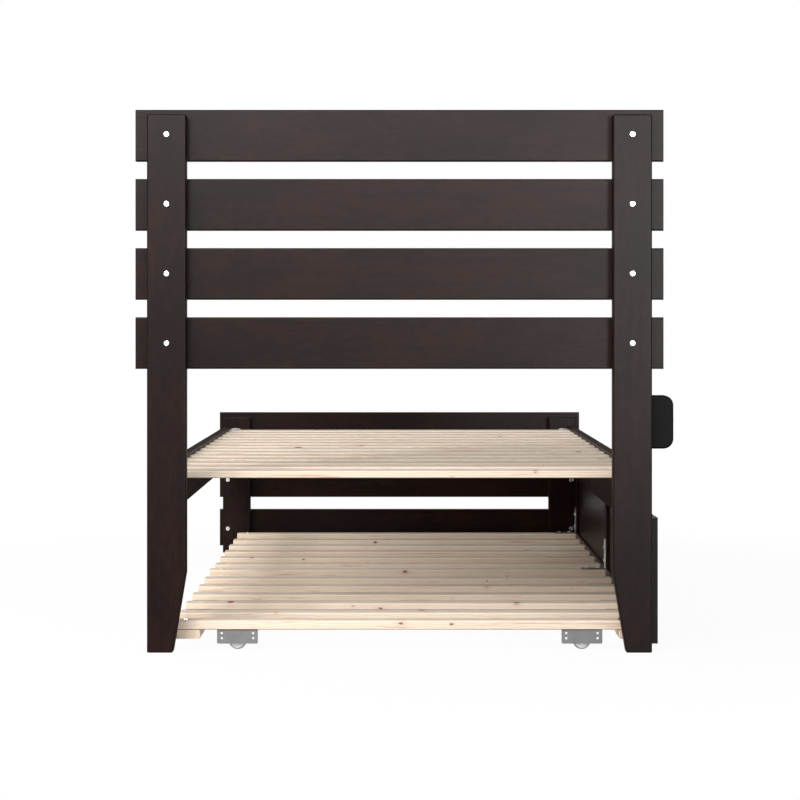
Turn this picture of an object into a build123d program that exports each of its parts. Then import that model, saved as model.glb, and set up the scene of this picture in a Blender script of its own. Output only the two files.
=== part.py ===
from build123d import *
import os

# Driving dimensions in millimetres: X from the centre plane, Y from the wall face, Z from the floor

# Board stock and edges
BOARD_THICK = 19.0
EDGE_ROUND = 3.0
SLAT_ROUND = 2.0

# Headboard and footboard posts
POST_OUTER_X = 521.3
POST_WIDTH = 80.5
POST_THICK = 36.0
POST_FOOT_WIDTH = 53.0
POST_TAPER_HEIGHT = 165.0
HEAD_POST_HEIGHT = 1111.5
FOOT_POST_HEIGHT = 400.0
INNER_LENGTH = 1940.0

# Wide slats of the headboard and footboard
WIDE_SLAT_HEIGHT = 107.6
WIDE_SLAT_PITCH = 143.8
HEAD_SLAT_LENGTH = 1098.0
HEAD_SLAT_TOP = 1124.0
HEAD_SLAT_COUNT = 4
FOOT_SLAT_LENGTH = 1066.0
FOOT_SLAT_TOP = 413.3
FOOT_SLAT_COUNT = 3

# Connector bolts
BOLT_HEAD_RADIUS = 5.7
BOLT_HEAD_HEIGHT = 4.0
BOLT_HEAD_ROUND = 0.8
BOLT_SHANK_RADIUS = 3.0
BOLT_BITE = 12.0
BOLT_SOCKET_RADIUS = 2.9
BOLT_SOCKET_DEPTH = 2.2
BOLT_CLEARANCE = 0.3
HEAD_BOLT_X = 481.0
FOOT_BOLT_X = 506.5
FOOT_TOP_BOLT_X = 455.0
FOOT_TOP_BOLT_DROP = 15.0

# Side rails, slat ledges and deck slats
RAIL_INNER_X = 497.0
RAIL_TOP = 373.5
RAIL_HEIGHT = 108.5
RAIL_ROUND = 1.0
LEDGE_SIZE = 20.0
LEDGE_END_GAP = 34.0
DECK_TOP = 366.0
DECK_SLAT_THICK = 15.0
DECK_SLAT_WIDTH = 63.5
DECK_SLAT_COUNT = 14
DECK_SLAT_PITCH = 132.7
DECK_FIRST_CENTRE = 133.0
DECK_SLAT_END_GAP = 0.5

# Corner brackets between rail and post
CORNER_LEG = 30.0
CORNER_STEEL = 2.5
CORNER_TOP = 368.0
CORNER_HEIGHT = 50.0
CORNER_ROUND = 9.0
CORNER_SCREW_RISE = 13.0
CORNER_SCREW_REACH = 18.0

# Bracket screws
SCREW_HEAD_RADIUS = 4.0
SCREW_HEAD_HEIGHT = 2.2
SCREW_SHANK_RADIUS = 2.0
SCREW_BITE = 12.0
SCREW_CLEARANCE = 0.2

# Countersinks for the slats' wood screws
SINK_RADIUS = 4.4
SINK_FLOOR_RADIUS = 2.0
SINK_DEPTH = 2.4
DECK_SCREW_X = 487.0

# Charger beside the right headboard post
CHARGER_REACH_X = 570.0
CHARGER_WIDTH = 73.0
CHARGER_HEIGHT = 111.0
CHARGER_BASE = 419.0
CHARGER_DEPTH = 30.0
CHARGER_COVER_DEPTH = 9.0
CHARGER_CORNER = 21.0
CHARGER_BACK_ROUND = 4.5
CHARGER_FRONT_ROUND = 3.0
CHARGER_SEAM = 0.5
SOCKET_WIDTH = 13.2
SOCKET_HEIGHT = 6.2
SOCKET_WALL = 0.5
SOCKET_DEPTH = 8.0
SOCKET_SPACING = 26.0
INLET_RADIUS = 4.5
INLET_BORE_RADIUS = 3.3
INLET_DEPTH = 12.0

# Trundle deck
TRUNDLE_END_GAP = 6.5
TRUNDLE_OPEN_X = -475.5
TRUNDLE_PANEL_X = 518.0
RUNNER_BASE = 23.0
RUNNER_WIDTH = 60.0
CROSS_SLAT_WIDTH = 38.0
TRUNDLE_SLAT_WIDTH = 53.0
TRUNDLE_SLAT_THICK = 14.5
TRUNDLE_SLAT_COUNT = 13
CROSS_SLAT_STEP = 6

# Trundle front panel
PANEL_THICK = 20.0
PANEL_BASE = 13.0
PANEL_TOP = 274.8
PANEL_MEMBER = 51.0
FIELD_THICK = 7.0
FIELD_TONGUE = 7.0

# Angle brackets between cross slats and front panel
ANGLE_STEEL = 2.5
ANGLE_WIDTH = 25.0
ANGLE_FOOT = 61.0
ANGLE_RISE = 76.0
ANGLE_ROUND = 6.0
ANGLE_FOOT_SCREWS = (20.5, 48.0)
ANGLE_RISE_SCREWS = (22.0, 56.0)

# Casters
CASTER_SPACING = 718.0
CASTER_PLATE_WIDTH = 85.0
CASTER_FORK_WIDTH = 44.0
CASTER_DEPTH = 27.0
CASTER_BASE = 12.4
CASTER_STEEL = 2.0
CASTER_ROUND = 3.0
CASTER_HOLE_RADIUS = 2.5
CASTER_HOLE_SPACING = 65.4
CASTER_HOLE_ROWS = (23.7, 34.3)
CASTER_INSET = 4.0
WHEEL_RADIUS = 18.6
WHEEL_WIDTH = 16.0
WHEEL_ROUND = 2.0
WHEEL_HUB_RADIUS = 7.0
WHEEL_RIM_INNER = 14.5
WHEEL_RECESS = 3.0
AXLE_RADIUS = 3.0
AXLE_CLEARANCE = 0.05
BOSS_RADIUS = 6.0

# Levels and faces that follow from the driving dimensions
POST_INNER_X = POST_OUTER_X - POST_WIDTH
HEAD_FACE_Y = POST_THICK
FOOT_FACE_Y = HEAD_FACE_Y + INNER_LENGTH
FOOT_SLAT_Y = FOOT_FACE_Y + POST_THICK
BED_LENGTH = FOOT_SLAT_Y + BOARD_THICK
RAIL_OUTER_X = RAIL_INNER_X + BOARD_THICK
TRUNDLE_START_Y = HEAD_FACE_Y + TRUNDLE_END_GAP
TRUNDLE_END_Y = FOOT_FACE_Y - TRUNDLE_END_GAP
RUNNER_TOP = RUNNER_BASE + BOARD_THICK
CROSS_SLAT_TOP = RUNNER_TOP + BOARD_THICK
TRUNDLE_PITCH = (TRUNDLE_END_Y - TRUNDLE_START_Y - CROSS_SLAT_WIDTH) / (TRUNDLE_SLAT_COUNT - 1)
TRUNDLE_CENTRE_X = (TRUNDLE_OPEN_X + TRUNDLE_PANEL_X) / 2
HEAD_SLAT_TOPS = [HEAD_SLAT_TOP - i * WIDE_SLAT_PITCH for i in range(HEAD_SLAT_COUNT)]
FOOT_SLAT_TOPS = [FOOT_SLAT_TOP - i * WIDE_SLAT_PITCH for i in range(FOOT_SLAT_COUNT)]
SIDES = {"left": -1, "right": 1}

# The parts are written about the middle of the bed's footprint, on the floor
LEFT_REACH_X = -HEAD_SLAT_LENGTH / 2
ORIGIN = Pos(-(LEFT_REACH_X + CHARGER_REACH_X) / 2, -BED_LENGTH / 2, 0)

# Directions in which round pieces are laid
ALONG_X = Rot(0, 90, 0)
ALONG_Y = Rot(-90, 0, 0)
AGAINST_Y = Rot(90, 0, 0)
DOWN = Rot(180, 0, 0)
STARTING = (Align.CENTER, Align.CENTER, Align.MIN)


def save(name, *solids):
    """Write one node, as a group when it holds several solids."""
    placed = [ORIGIN * solid for solid in solids]
    shape = placed[0] if len(placed) == 1 else Compound(children=placed)
    export_step(shape, f"parts/{name}.step")


def board(x, y, z, along, rounding):
    """A planed board between three (low, high) spans, with its long edges rounded."""
    spans = (x, y, z)
    centre = [(low + high) / 2 for low, high in spans]
    size = [high - low for low, high in spans]
    solid = Pos(*centre) * Box(*size)
    return fillet(solid.edges().filter_by(along), rounding)


def rod(direction, radius, length):
    """A cylinder that starts at the origin and runs along a direction."""
    return direction * Cylinder(radius, length, align=STARTING)


def mirrored(solid, side):
    """A solid modelled on the right, moved to the named side."""
    return solid if side > 0 else mirror(solid, about=Plane.YZ)


def bolt(grip):
    """A socket-head bolt along Y, seated at Y = 0 with its shank ahead of it."""
    head = Pos(0, -BOLT_HEAD_HEIGHT, 0) * rod(ALONG_Y, BOLT_HEAD_RADIUS, BOLT_HEAD_HEIGHT)
    head = fillet(head.edges().sort_by(Axis.Y)[0], BOLT_HEAD_ROUND)
    socket = extrude(RegularPolygon(BOLT_SOCKET_RADIUS, 6), BOLT_SOCKET_DEPTH)
    head -= Pos(0, -BOLT_HEAD_HEIGHT, 0) * ALONG_Y * socket
    return head + rod(ALONG_Y, BOLT_SHANK_RADIUS, grip + BOLT_BITE)


def bolt_hole(depth):
    """The clearance hole for a bolt shank along Y."""
    return rod(ALONG_Y, BOLT_SHANK_RADIUS + BOLT_CLEARANCE, depth)


def screw(direction, grip):
    """A pan-head screw whose head seats at the origin, its shank along a direction."""
    head = Pos(0, 0, -SCREW_HEAD_HEIGHT) * Cylinder(SCREW_HEAD_RADIUS, SCREW_HEAD_HEIGHT, align=STARTING)
    head = fillet(head.edges().sort_by(Axis.Z)[0], SCREW_HEAD_HEIGHT / 2)
    return direction * (head + Cylinder(SCREW_SHANK_RADIUS, grip + SCREW_BITE, align=STARTING))


def screw_hole(direction, depth):
    """The hole for a bracket screw along a direction."""
    return rod(direction, SCREW_SHANK_RADIUS + SCREW_CLEARANCE, depth)


def countersink():
    """The seat of a slat's wood screw, cut down from the origin."""
    return Cone(SINK_FLOOR_RADIUS, SINK_RADIUS, SINK_DEPTH, align=(Align.CENTER, Align.CENTER, Align.MAX))


# Post outlines: the headboard's taper on the inner side towards the floor, the footboard's are straight
HEAD_POST_OUTLINE = (
    (POST_INNER_X, HEAD_POST_HEIGHT),
    (POST_OUTER_X, HEAD_POST_HEIGHT),
    (POST_OUTER_X, 0),
    (POST_OUTER_X - POST_FOOT_WIDTH, 0),
    (POST_INNER_X, POST_TAPER_HEIGHT),
)
FOOT_POST_OUTLINE = (
    (POST_INNER_X, FOOT_POST_HEIGHT),
    (POST_OUTER_X, FOOT_POST_HEIGHT),
    (POST_OUTER_X, 0),
    (POST_INNER_X, 0),
)


def post(outline, start_y):
    """A post of one outline on the right side, from a face towards the headboard."""
    face = Plane.XZ.offset(-start_y) * make_face(Polyline(*outline, close=True))
    solid = extrude(face, -POST_THICK)
    return fillet(solid.edges(), EDGE_ROUND)


# Where the bolts of each end cross the posts, on the right side
HEAD_BOLT_PLACES = [(HEAD_BOLT_X, top - WIDE_SLAT_HEIGHT / 2) for top in HEAD_SLAT_TOPS]
FOOT_BOLT_PLACES = [(FOOT_BOLT_X, top - WIDE_SLAT_HEIGHT / 2) for top in FOOT_SLAT_TOPS[1:]]
FOOT_BOLT_PLACES += [(FOOT_TOP_BOLT_X, FOOT_SLAT_TOPS[0] - WIDE_SLAT_HEIGHT / 2 - FOOT_TOP_BOLT_DROP)]


def wide_slat(length, top, start_y, bolt_places):
    """A wide slat across two posts, with blind holes where the bolts bite."""
    span_x = (-length / 2, length / 2)
    span_y = (start_y, start_y + BOARD_THICK)
    span_z = (top - WIDE_SLAT_HEIGHT, top)
    solid = board(span_x, span_y, span_z, Axis.X, EDGE_ROUND)
    for x, z in bolt_places:
        if span_z[0] < z < span_z[1]:
            for side in SIDES.values():
                solid -= Pos(side * x, start_y, z) * bolt_hole(BOLT_BITE + BOLT_CLEARANCE)
    return solid


# Corner brackets: steel angles in the corners between rail and post, on the right at the head end
CORNER_BASE = CORNER_TOP - CORNER_HEIGHT
CORNER_SCREW_LEVELS = (CORNER_BASE + CORNER_SCREW_RISE, CORNER_TOP - CORNER_SCREW_RISE)


def corner_bracket():
    post_leg = Pos(RAIL_INNER_X, HEAD_FACE_Y, CORNER_BASE) * Box(
        CORNER_LEG, CORNER_STEEL, CORNER_HEIGHT, align=(Align.MAX, Align.MIN, Align.MIN)
    )
    rail_leg = Pos(RAIL_INNER_X, HEAD_FACE_Y, CORNER_BASE) * Box(
        CORNER_STEEL, CORNER_LEG, CORNER_HEIGHT, align=(Align.MAX, Align.MIN, Align.MIN)
    )
    post_leg = fillet(post_leg.edges().filter_by(Axis.Y).group_by(Axis.X)[0], CORNER_ROUND)
    rail_leg = fillet(rail_leg.edges().filter_by(Axis.X).group_by(Axis.Y)[-1], CORNER_ROUND)
    solid = post_leg + rail_leg
    for level in CORNER_SCREW_LEVELS:
        solid -= corner_screw_holes(level)
    return solid


def corner_screw_holes(level):
    """Both screw holes of a corner bracket at one level, through steel and wood."""
    depth = CORNER_STEEL + SCREW_BITE + SCREW_CLEARANCE
    to_post = Pos(RAIL_INNER_X - CORNER_SCREW_REACH, HEAD_FACE_Y + CORNER_STEEL, level)
    to_rail = Pos(RAIL_INNER_X - CORNER_STEEL, HEAD_FACE_Y + CORNER_SCREW_REACH, level)
    return to_post * screw_hole(AGAINST_Y, depth) + to_rail * screw_hole(ALONG_X, depth)


def corner_screws(level):
    """Both screws of a corner bracket at one level."""
    to_post = Pos(RAIL_INNER_X - CORNER_SCREW_REACH, HEAD_FACE_Y + CORNER_STEEL, level)
    to_rail = Pos(RAIL_INNER_X - CORNER_STEEL, HEAD_FACE_Y + CORNER_SCREW_REACH, level)
    return [to_post * screw(AGAINST_Y, CORNER_STEEL), to_rail * screw(ALONG_X, CORNER_STEEL)]


# The foot end mirrors the head end about the middle of the rails
MIDDLE_PLANE = Plane.XZ.offset(-(HEAD_FACE_Y + FOOT_FACE_Y) / 2)


def four_corners(solid):
    """A solid modelled at the right head corner, repeated at all four corners of the rails."""
    right_pair = [solid, mirror(solid, about=MIDDLE_PLANE)]
    return right_pair + [mirror(one, about=Plane.YZ) for one in right_pair]


def side_corner_holes(side):
    """Every corner screw hole on one side of the bed, as cutters for its rail and posts."""
    cutters = []
    for level in CORNER_SCREW_LEVELS:
        near = corner_screw_holes(level)
        cutters += [mirrored(near, side), mirrored(mirror(near, about=MIDDLE_PLANE), side)]
    return cutters


# Bed frame
def make_posts():
    for name, side in SIDES.items():
        cutters = side_corner_holes(side)
        head = mirrored(post(HEAD_POST_OUTLINE, 0), side)
        for x, z in HEAD_BOLT_PLACES:
            seat = rod(ALONG_Y, BOLT_HEAD_RADIUS + BOLT_CLEARANCE, BOLT_HEAD_HEIGHT)
            head -= Pos(side * x, 0, z) * (seat + bolt_hole(POST_THICK))
        foot = mirrored(post(FOOT_POST_OUTLINE, FOOT_FACE_Y), side)
        for x, z in FOOT_BOLT_PLACES:
            foot -= Pos(side * x, FOOT_FACE_Y, z) * bolt_hole(POST_THICK)
        for cutter in cutters:
            head -= cutter
            foot -= cutter
        save(f"headboard_post_{name}", head)
        save(f"footboard_post_{name}", foot)


def make_wide_slats():
    for i, top in enumerate(HEAD_SLAT_TOPS, 1):
        save(f"headboard_slat_{i}", wide_slat(HEAD_SLAT_LENGTH, top, HEAD_FACE_Y, HEAD_BOLT_PLACES))
    for i, top in enumerate(FOOT_SLAT_TOPS, 1):
        save(f"footboard_slat_{i}", wide_slat(FOOT_SLAT_LENGTH, top, FOOT_SLAT_Y, FOOT_BOLT_PLACES))


def make_bolts():
    head_bolt = bolt(POST_THICK - BOLT_HEAD_HEIGHT)
    foot_bolt = bolt(POST_THICK)
    head_bolts = []
    foot_bolts = []
    for side in SIDES.values():
        head_bolts += [Pos(side * x, BOLT_HEAD_HEIGHT, z) * head_bolt for x, z in HEAD_BOLT_PLACES]
        foot_bolts += [Pos(side * x, FOOT_FACE_Y, z) * foot_bolt for x, z in FOOT_BOLT_PLACES]
    save("headboard_bolts", *head_bolts)
    save("footboard_bolts", *foot_bolts)


def make_rails_and_ledges():
    rail_z = (RAIL_TOP - RAIL_HEIGHT, RAIL_TOP)
    ledge_top = DECK_TOP - DECK_SLAT_THICK
    ledge_x = (RAIL_INNER_X - LEDGE_SIZE, RAIL_INNER_X)
    ledge_y = (HEAD_FACE_Y + LEDGE_END_GAP, FOOT_FACE_Y - LEDGE_END_GAP)
    rail = board((RAIL_INNER_X, RAIL_OUTER_X), (HEAD_FACE_Y, FOOT_FACE_Y), rail_z, Axis.Y, RAIL_ROUND)
    ledge = board(ledge_x, ledge_y, (ledge_top - LEDGE_SIZE, ledge_top), Axis.Y, SLAT_ROUND)
    for name, side in SIDES.items():
        side_rail = mirrored(rail, side)
        for cutter in side_corner_holes(side):
            side_rail -= cutter
        save(f"side_rail_{name}", side_rail)
        save(f"slat_ledge_{name}", mirrored(ledge, side))


def make_deck_slats():
    reach = RAIL_INNER_X - DECK_SLAT_END_GAP
    for i in range(DECK_SLAT_COUNT):
        centre_y = HEAD_FACE_Y + DECK_FIRST_CENTRE + i * DECK_SLAT_PITCH
        span_y = (centre_y - DECK_SLAT_WIDTH / 2, centre_y + DECK_SLAT_WIDTH / 2)
        slat = board((-reach, reach), span_y, (DECK_TOP - DECK_SLAT_THICK, DECK_TOP), Axis.X, SLAT_ROUND)
        for side in SIDES.values():
            slat -= Pos(side * DECK_SCREW_X, centre_y, DECK_TOP) * countersink()
        save(f"deck_slat_{i + 1:02d}", slat)


def make_corner_brackets():
    screws = [one for level in CORNER_SCREW_LEVELS for one in corner_screws(level)]
    save("corner_brackets", *four_corners(corner_bracket()))
    save("corner_bracket_screws", *[copy for one in screws for copy in four_corners(one)])


# Charger: a two-piece moulded case on the mattress side of the right post
def charger_block(start_y, depth):
    """A slice of the charger's rounded case, from one depth to another."""
    centre_x = CHARGER_REACH_X - CHARGER_WIDTH / 2
    centre_z = CHARGER_BASE + CHARGER_HEIGHT / 2
    face = Plane.XZ * RectangleRounded(CHARGER_WIDTH, CHARGER_HEIGHT, CHARGER_CORNER)
    return Pos(centre_x, HEAD_FACE_Y + start_y, centre_z) * extrude(face, -depth)


def make_charger():
    back_depth = CHARGER_DEPTH - CHARGER_COVER_DEPTH
    front_y = HEAD_FACE_Y + CHARGER_DEPTH
    centre_x = CHARGER_REACH_X - CHARGER_WIDTH / 2
    centre_z = CHARGER_BASE + CHARGER_HEIGHT / 2
    back = charger_block(0, back_depth)
    back = fillet(back.faces().sort_by(Axis.Y)[0].edges(), CHARGER_BACK_ROUND)
    back = chamfer(back.faces().sort_by(Axis.Y)[-1].edges(), CHARGER_SEAM)
    cover = charger_block(back_depth, CHARGER_COVER_DEPTH)
    cover = fillet(cover.faces().sort_by(Axis.Y)[-1].edges(), CHARGER_FRONT_ROUND)
    cover = chamfer(cover.faces().sort_by(Axis.Y)[0].edges(), CHARGER_SEAM)

    outer = Box(SOCKET_WIDTH, SOCKET_DEPTH, SOCKET_HEIGHT, align=(Align.CENTER, Align.MAX, Align.CENTER))
    mouth = Box(
        SOCKET_WIDTH - 2 * SOCKET_WALL,
        SOCKET_DEPTH - SOCKET_WALL,
        SOCKET_HEIGHT - 2 * SOCKET_WALL,
        align=(Align.CENTER, Align.MAX, Align.CENTER),
    )
    sockets = []
    for offset in (-SOCKET_SPACING / 2, SOCKET_SPACING / 2):
        place = Pos(centre_x, front_y, centre_z + offset)
        cover -= place * outer
        sockets.append(place * (outer - mouth))

    inlet_place = Pos(centre_x, HEAD_FACE_Y + back_depth / 2, CHARGER_BASE)
    back -= inlet_place * Cylinder(INLET_RADIUS, INLET_DEPTH, align=STARTING)
    inlet = Cylinder(INLET_RADIUS, INLET_DEPTH, align=STARTING)
    inlet -= Cylinder(INLET_BORE_RADIUS, INLET_DEPTH - SOCKET_WALL, align=STARTING)
    save("charger_back_shell", back)
    save("charger_front_cover", cover)
    save("charger_outlets", *sockets)
    save("charger_power_inlet", inlet_place * inlet)


# Trundle deck: slats on two runners, the end and middle ones thicker to carry the casters
def trundle_slat_start(index):
    """The Y of a trundle slat's edge towards the headboard."""
    return TRUNDLE_START_Y + index * TRUNDLE_PITCH


CROSS_SLATS = range(0, TRUNDLE_SLAT_COUNT, CROSS_SLAT_STEP)
CROSS_SLAT_CENTRES = [trundle_slat_start(i) + CROSS_SLAT_WIDTH / 2 for i in CROSS_SLATS]


def make_trundle_deck():
    span_x = (TRUNDLE_OPEN_X, TRUNDLE_PANEL_X)
    runner_y = (TRUNDLE_START_Y, TRUNDLE_END_Y)
    runner_z = (RUNNER_BASE, RUNNER_TOP)
    starts = {"left": TRUNDLE_OPEN_X, "right": TRUNDLE_PANEL_X - RUNNER_WIDTH}
    runner_middles = {name: start_x + RUNNER_WIDTH / 2 for name, start_x in starts.items()}
    for name, start_x in starts.items():
        save(f"trundle_runner_{name}",
             board((start_x, start_x + RUNNER_WIDTH), runner_y, runner_z, Axis.Y, SLAT_ROUND))

    for number, i in enumerate(CROSS_SLATS, 1):
        start = trundle_slat_start(i)
        span_y = (start, start + CROSS_SLAT_WIDTH)
        cross = board(span_x, span_y, (RUNNER_TOP, CROSS_SLAT_TOP), Axis.X, SLAT_ROUND)
        centre_y = start + CROSS_SLAT_WIDTH / 2
        for x in ANGLE_FOOT_SCREW_XS:
            cross -= Pos(x, centre_y, CROSS_SLAT_TOP) * screw_hole(DOWN, SCREW_BITE)
        cross -= Pos(runner_middles["left"], centre_y, CROSS_SLAT_TOP) * countersink()
        save(f"trundle_cross_slat_{number}", cross)

    slats = []
    for i in range(TRUNDLE_SLAT_COUNT):
        if i not in CROSS_SLATS:
            start = trundle_slat_start(i)
            span_y = (start, start + TRUNDLE_SLAT_WIDTH)
            span_z = (RUNNER_TOP, RUNNER_TOP + TRUNDLE_SLAT_THICK)
            slat = board(span_x, span_y, span_z, Axis.X, SLAT_ROUND)
            for middle_x in runner_middles.values():
                slat -= Pos(middle_x, start + TRUNDLE_SLAT_WIDTH / 2, span_z[1]) * countersink()
            slats.append(slat)
    save("trundle_slats", *slats)


# Angle brackets: a foot screwed to each cross slat and a riser screwed to the front panel
ANGLE_FOOT_SCREW_XS = [TRUNDLE_PANEL_X - reach for reach in ANGLE_FOOT_SCREWS]
ANGLE_RISE_SCREW_ZS = [CROSS_SLAT_TOP + rise for rise in ANGLE_RISE_SCREWS]


def angle_bracket(centre_y):
    corner = Pos(TRUNDLE_PANEL_X, centre_y, CROSS_SLAT_TOP)
    against_panel = (Align.MAX, Align.CENTER, Align.MIN)
    foot = corner * Box(ANGLE_FOOT, ANGLE_WIDTH, ANGLE_STEEL, align=against_panel)
    riser = corner * Box(ANGLE_STEEL, ANGLE_WIDTH, ANGLE_RISE, align=against_panel)
    foot = fillet(foot.edges().filter_by(Axis.Z).group_by(Axis.X)[0], ANGLE_ROUND)
    riser = fillet(riser.edges().filter_by(Axis.X).group_by(Axis.Z)[-1], ANGLE_ROUND)
    solid = foot + riser
    for x in ANGLE_FOOT_SCREW_XS:
        solid -= Pos(x, centre_y, CROSS_SLAT_TOP + ANGLE_STEEL) * screw_hole(DOWN, ANGLE_STEEL)
    for z in ANGLE_RISE_SCREW_ZS:
        solid -= Pos(TRUNDLE_PANEL_X - ANGLE_STEEL, centre_y, z) * screw_hole(ALONG_X, ANGLE_STEEL)
    return solid


def make_angle_brackets():
    down = screw(DOWN, ANGLE_STEEL - SCREW_CLEARANCE)
    outward = screw(ALONG_X, ANGLE_STEEL - SCREW_CLEARANCE)
    foot_top = CROSS_SLAT_TOP + ANGLE_STEEL
    riser_face = TRUNDLE_PANEL_X - ANGLE_STEEL
    screws = []
    for centre_y in CROSS_SLAT_CENTRES:
        screws += [Pos(x, centre_y, foot_top) * down for x in ANGLE_FOOT_SCREW_XS]
        screws += [Pos(riser_face, centre_y, z) * outward for z in ANGLE_RISE_SCREW_ZS]
    save("trundle_angle_brackets", *[angle_bracket(centre_y) for centre_y in CROSS_SLAT_CENTRES])
    save("trundle_bracket_screws", *screws)


# Trundle front: rails and stiles with grooves that hold two thin fields
def make_trundle_front():
    span_x = (TRUNDLE_PANEL_X, TRUNDLE_PANEL_X + PANEL_THICK)
    middle_x = sum(span_x) / 2
    middle_y = (TRUNDLE_START_Y + TRUNDLE_END_Y) / 2
    stile_starts = (TRUNDLE_START_Y, middle_y - PANEL_MEMBER / 2, TRUNDLE_END_Y - PANEL_MEMBER)
    lower_z = (PANEL_BASE, PANEL_BASE + PANEL_MEMBER)
    upper_z = (PANEL_TOP - PANEL_MEMBER, PANEL_TOP)
    rail_y = (stile_starts[0] + PANEL_MEMBER, stile_starts[-1])

    fields = []
    for near, far in zip(stile_starts, stile_starts[1:]):
        low = (middle_x - FIELD_THICK / 2, near + PANEL_MEMBER - FIELD_TONGUE, lower_z[1] - FIELD_TONGUE)
        high = (middle_x + FIELD_THICK / 2, far + FIELD_TONGUE, upper_z[0] + FIELD_TONGUE)
        centre = [(a + b) / 2 for a, b in zip(low, high)]
        fields.append(Pos(*centre) * Box(*[b - a for a, b in zip(low, high)]))

    members = {
        "top_rail": board(span_x, rail_y, upper_z, Axis.Y, SLAT_ROUND),
        "bottom_rail": board(span_x, rail_y, lower_z, Axis.Y, SLAT_ROUND),
    }
    stile_names = ("head_stile", "centre_stile", "foot_stile")
    for name, start in zip(stile_names, stile_starts):
        span_z = (lower_z[1], upper_z[0]) if name == "centre_stile" else (PANEL_BASE, PANEL_TOP)
        members[name] = board(span_x, (start, start + PANEL_MEMBER), span_z, Axis.Z, SLAT_ROUND)

    for name, solid in members.items():
        for field in fields:
            solid -= field
        for centre_y in CROSS_SLAT_CENTRES:
            for z in ANGLE_RISE_SCREW_ZS:
                solid -= Pos(TRUNDLE_PANEL_X, centre_y, z) * screw_hole(ALONG_X, SCREW_BITE)
        save(f"trundle_front_{name}", solid)
    for name, field in zip(("head", "foot"), fields):
        save(f"trundle_front_field_{name}", field)


# Casters: a folded plate with a fork behind it, an axle between the cheeks and a recessed wheel

def caster_housing():
    """A caster housing with its plate's outer face at Y = 0 and its axle over X = 0."""
    height = RUNNER_TOP - CASTER_BASE
    low_middle = (Align.CENTER, Align.MIN, Align.MIN)
    plate = Pos(0, 0, CASTER_BASE) * Box(CASTER_PLATE_WIDTH, CASTER_STEEL, height, align=low_middle)
    plate = fillet(plate.edges().filter_by(Axis.Y).group_by(Axis.Z)[0], CASTER_ROUND)
    flange = Pos(0, 0, RUNNER_TOP - CASTER_STEEL) * Box(
        CASTER_PLATE_WIDTH, CASTER_DEPTH, CASTER_STEEL, align=low_middle
    )
    flange = fillet(flange.edges().filter_by(Axis.Z).group_by(Axis.Y)[-1], CASTER_ROUND)
    cheek = Pos(0, CASTER_DEPTH - CASTER_STEEL, CASTER_BASE) * Box(
        CASTER_FORK_WIDTH, CASTER_STEEL, height, align=low_middle
    )
    cheek = fillet(cheek.edges().filter_by(Axis.Y).group_by(Axis.Z)[0], CASTER_ROUND)
    boss = Pos(0, CASTER_STEEL, WHEEL_RADIUS) * rod(ALONG_Y, BOSS_RADIUS, CASTER_STEEL)
    solid = plate + flange + cheek + boss
    for x in (-CASTER_HOLE_SPACING / 2, CASTER_HOLE_SPACING / 2):
        for z in CASTER_HOLE_ROWS:
            solid -= Pos(x, 0, z) * rod(ALONG_Y, CASTER_HOLE_RADIUS, CASTER_STEEL)
    return solid - caster_axle()


def caster_axle():
    """The axle from the plate's boss to the fork's far cheek."""
    return Pos(0, CASTER_STEEL, WHEEL_RADIUS) * rod(ALONG_Y, AXLE_RADIUS, CASTER_DEPTH - CASTER_STEEL)


def caster_wheel():
    """A recessed wheel running on the axle, midway between boss and cheek."""
    centre_y = (2 * CASTER_STEEL + CASTER_DEPTH - CASTER_STEEL) / 2
    wheel = Cylinder(WHEEL_RADIUS, WHEEL_WIDTH)
    wheel = fillet(wheel.edges(), WHEEL_ROUND)
    ring = Cylinder(WHEEL_RIM_INNER, WHEEL_RECESS) - Cylinder(WHEEL_HUB_RADIUS, WHEEL_RECESS)
    for face in (-1, 1):
        wheel -= Pos(0, 0, face * (WHEEL_WIDTH - WHEEL_RECESS) / 2) * ring
    wheel -= Cylinder(AXLE_RADIUS + AXLE_CLEARANCE, WHEEL_WIDTH)
    return Pos(0, centre_y, WHEEL_RADIUS) * ALONG_Y * wheel


def make_casters():
    places = []
    for i in CROSS_SLATS:
        for side in SIDES.values():
            x = TRUNDLE_CENTRE_X + side * CASTER_SPACING / 2
            places.append(Pos(x, trundle_slat_start(i) + CASTER_INSET, 0))
    save("caster_housings", *[place * caster_housing() for place in places])
    save("caster_axles", *[place * caster_axle() for place in places])
    for number, place in enumerate(places, 1):
        save(f"caster_wheel_{number}", place * caster_wheel())


os.makedirs("parts", exist_ok=True)
make_posts()
make_wide_slats()
make_bolts()
make_rails_and_ledges()
make_deck_slats()
make_corner_brackets()
make_charger()
make_trundle_deck()
make_angle_brackets()
make_trundle_front()
make_casters()
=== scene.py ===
import math

import bmesh
import bpy
from mathutils import Matrix, Vector


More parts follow.
